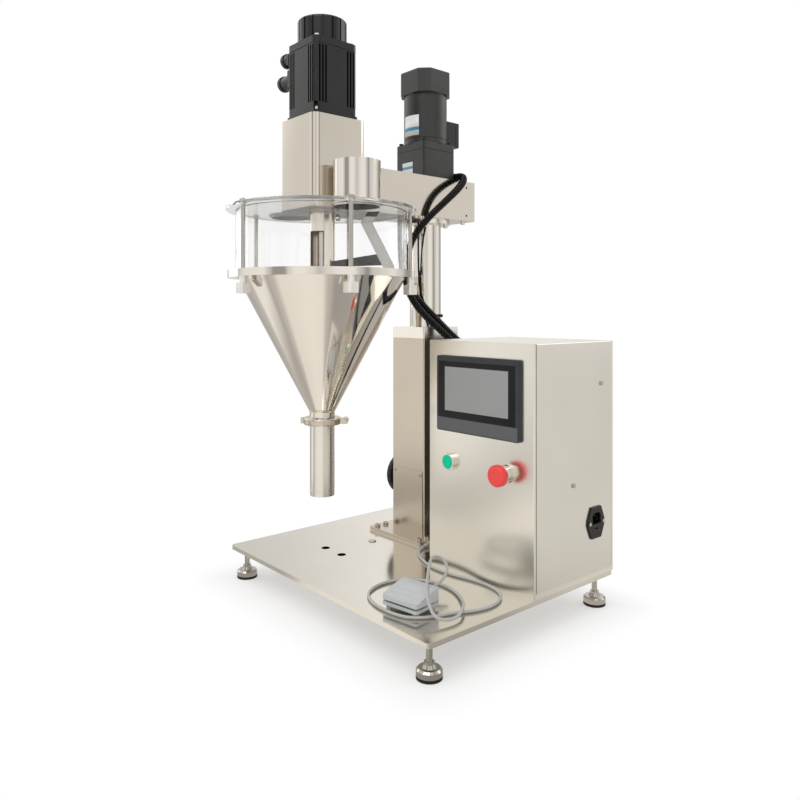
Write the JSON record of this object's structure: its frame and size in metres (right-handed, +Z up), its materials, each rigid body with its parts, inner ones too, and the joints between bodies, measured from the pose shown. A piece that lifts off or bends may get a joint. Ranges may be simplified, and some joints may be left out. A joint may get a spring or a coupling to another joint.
{
  "type": "auger powder filler",
  "caption": "Tabletop semi-automatic auger filler: levelled base plate, lifting column, servo auger and agitator over a clear hopper with steel cone, control cabinet and foot switch.",
  "frame": {"origin": "on the floor, under the middle of the overall box of the machine", "axes": "+Z up, -Y towards the operator, +X to the operator's right, where the control cabinet stands"},
  "size_m": [0.6083, 0.553, 1.105],
  "materials": {
    "base_steel": "satin",
    "polished_steel": "polished",
    "column_steel": "satin",
    "cabinet_steel": "brushed",
    "steel": "satin",
    "motor_black": "satin",
    "black_plastic": "matte",
    "rubber_black": "matte",
    "clear_acrylic": "clear",
    "pale_metal": "matte",
    "aluminium": "machined",
    "panel_grey": "matte",
    "screen": "glossy",
    "green_plastic": "glossy",
    "red_plastic": "satin",
    "switch_grey": "matte",
    "cable_grey": "satin"
  },
  "bodies": {
    "base": {"base_plate": "base_steel", "levelling_feet": "polished_steel", "foot_pads": "rubber_black", "column_post": "column_steel", "column_cover": "column_steel", "column_cap": "column_steel", "flange_bolts": "steel", "panel_screws": "steel", "lift_gearbox": "steel", "control_tray": "cabinet_steel", "control_cover": "cabinet_steel", "hmi_bezel": "panel_grey", "hmi_screen": "screen", "button_bezels": "polished_steel", "power_inlet": "black_plastic", "cable_glands": "black_plastic", "switch_base": "switch_grey", "foot_cable": "cable_grey", "conduit_motor": "black_plastic", "conduit_servo": "black_plastic"},
    "head": {"lift_tube": "polished_steel", "stop_pin": "steel", "head_box": "column_steel", "head_screws": "steel", "gearhead": "motor_black", "gearmotor_body": "motor_black", "gearmotor_fan_cover": "motor_black", "gearmotor_terminal_box": "black_plastic", "drive_belt": "rubber_black", "servo_housing": "column_steel", "servo_body": "motor_black", "servo_encoder_cap": "black_plastic", "servo_connectors": "black_plastic", "hopper_lid": "clear_acrylic", "feed_inlet": "polished_steel", "lid_port_plug": "steel", "hopper_cylinder": "clear_acrylic", "hopper_cone": "polished_steel", "tie_rods": "polished_steel", "thumb_nuts": "pale_metal", "fill_tube": "polished_steel", "tube_clamp": "column_steel"},
    "lift_wheel": {"handwheel": "black_plastic", "handwheel_shaft": "steel"},
    "wheel_grip": {"handwheel_grip": "black_plastic"},
    "lift_screw": {"leadscrew": "steel"},
    "auger": {"servo_shaft": "steel", "shaft_coupling": "aluminium", "auger_screw": "steel"},
    "agitator": {"driven_pulley": "aluminium", "agitator_sleeve": "steel", "agitator_blade": "steel", "agitator_scraper": "polished_steel"},
    "agitator_drive": {"drive_pulley": "aluminium"},
    "tube_clamp_knob": {"clamp_knob": "polished_steel"},
    "start": {"start_button": "green_plastic"},
    "stop_stem": {"estop_stem": "black_plastic"},
    "stop_head": {"estop_button": "red_plastic"},
    "fuse": {"fuse_drawer": "black_plastic"},
    "pedal": {"switch_pedal": "switch_grey"}
  },
  "joints": [
    {"name": "column_lift", "type": "slide", "parent": "base", "child": "head", "axis": [0, 0, 1], "range_m": [-0.02, 0.1], "deforming": ["conduit_motor", "conduit_servo"]},
    {"name": "handwheel_turn", "type": "hinge", "parent": "base", "child": "lift_wheel", "pos_m": [-0.1802, 0.1825, 0.1725], "axis": [1, 0, 0], "range_deg": [-721, 3601]},
    {"name": "wheel_grip_spin", "type": "hinge", "parent": "lift_wheel", "child": "wheel_grip", "pos_m": [-0.2102, 0.2145, 0.1725], "axis": [1, 0, 0], "continuous": true},
    {"name": "lift_screw_turn", "type": "hinge", "parent": "base", "child": "lift_screw", "pos_m": [-0.1202, 0.1825, 0.3], "axis": [0, 0, 1], "range_deg": [-721, 3601]},
    {"name": "auger_spin", "type": "hinge", "parent": "head", "child": "auger", "pos_m": [-0.1202, -0.0925, 0.5], "axis": [0, 0, 1], "continuous": true},
    {"name": "agitator_spin", "type": "hinge", "parent": "head", "child": "agitator", "pos_m": [-0.1202, -0.0925, 0.7], "axis": [0, 0, 1], "continuous": true},
    {"name": "agitator_drive_spin", "type": "hinge", "parent": "head", "child": "agitator_drive", "pos_m": [-0.1202, 0.1825, 0.766], "axis": [0, 0, 1], "continuous": true},
    {"name": "clamp_knob_turn", "type": "hinge", "parent": "head", "child": "tube_clamp_knob", "pos_m": [-0.08909, -0.06139, 0.326], "axis": [-0.7071, 0.7071, 0], "range_deg": [0, 1080]},
    {"name": "start_press", "type": "slide", "parent": "base", "child": "start", "axis": [0, 1, 0], "range_m": [0, 0.003], "stiffness_N_per_m": 500, "springref_m": -0.004},
    {"name": "stop_press", "type": "slide", "parent": "base", "child": "stop_stem", "axis": [0, 1, 0], "range_m": [0, 0.005]},
    {"name": "stop_twist", "type": "hinge", "parent": "stop_stem", "child": "stop_head", "pos_m": [0.2428, 0.0225, 0.264], "axis": [0, 1, 0], "range_deg": [0, 45], "stiffness_Nm_per_rad": 0.05, "springref_deg": -11.46},
    {"name": "fuse_drawer_pull", "type": "slide", "parent": "base", "child": "fuse", "axis": [1, 0, 0], "range_m": [0, 0.02]},
    {"name": "pedal_press", "type": "hinge", "parent": "base", "child": "pedal", "pos_m": [0.1832, -0.11078, 0.081], "axis": [0.9877, 0.1564, 0], "range_deg": [0, 3], "stiffness_Nm_per_rad": 2, "springref_deg": -5.73}
  ],
  "couplings": [
    {"joint": "handwheel_turn", "follows": "column_lift", "rad_per_m": 628.32},
    {"joint": "lift_screw_turn", "follows": "column_lift", "rad_per_m": 628.32},
    {"joint": "agitator_drive_spin", "follows": "agitator_spin", "ratio": 1.5}
  ]
}
